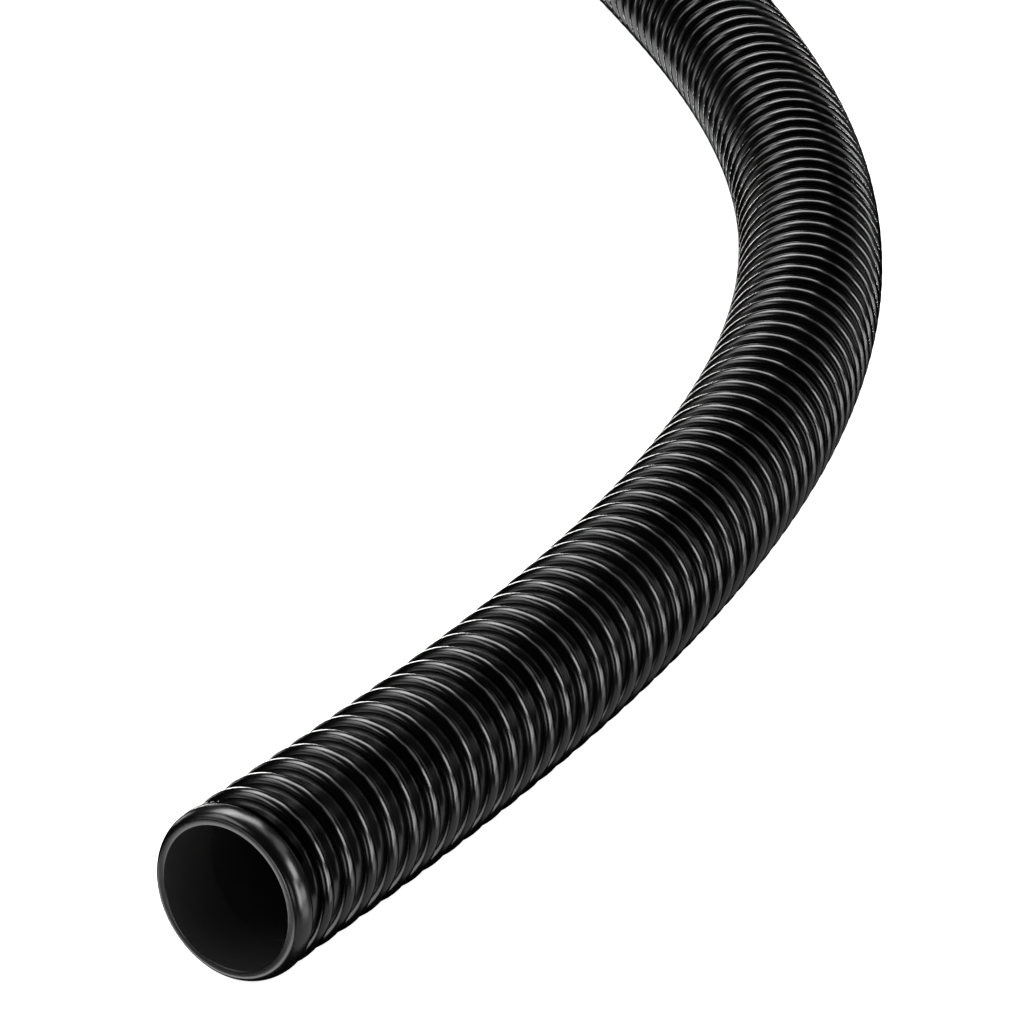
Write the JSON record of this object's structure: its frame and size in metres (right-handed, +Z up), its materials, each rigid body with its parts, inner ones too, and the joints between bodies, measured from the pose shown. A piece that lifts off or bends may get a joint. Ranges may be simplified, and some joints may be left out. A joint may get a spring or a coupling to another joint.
{
  "type": "vacuum hose",
  "caption": "Ribbed pool vacuum hose, one plain lipped end lying free and the rest wound in a strapped coil that ends in a swivel cuff.",
  "frame": {"origin": "middle of the object's footprint, on the surface that it lies on", "axes": "+Z up; +Y the way that the hose leaves its free end's mouth; the coil lies towards -X, and the swivel cuff's open end points along -X"},
  "size_m": [1.212, 1.025, 0.1064],
  "materials": {
    "hose_plastic": "glossy",
    "moulded_plastic": "glossy",
    "cuff_plastic": "satin",
    "seal_rubber": "matte",
    "ring_plastic": "satin",
    "strap_webbing": "woven",
    "buckle_plastic": "satin"
  },
  "bodies": {
    "hose": {"end_bush": "moulded_plastic", "hose_run": "hose_plastic", "hose_coil": "hose_plastic", "hose_tail": "hose_plastic", "cuff_sleeve": "moulded_plastic", "cuff_seal": "seal_rubber", "strap_1": "strap_webbing", "strap_1_buckle": "buckle_plastic", "strap_1_tab": "strap_webbing", "strap_2": "strap_webbing", "strap_2_buckle": "buckle_plastic", "strap_2_tab": "strap_webbing", "strap_3": "strap_webbing", "strap_3_buckle": "buckle_plastic", "strap_3_tab": "strap_webbing"},
    "cuff": {"swivel_cuff": "cuff_plastic", "retaining_ring": "ring_plastic"}
  },
  "joints": [
    {"name": "cuff_swivel", "type": "hinge", "parent": "hose", "child": "cuff", "pos_m": [-0.296, 0.4403, 0.077], "axis": [-1, 0, 0], "continuous": true}
  ]
}
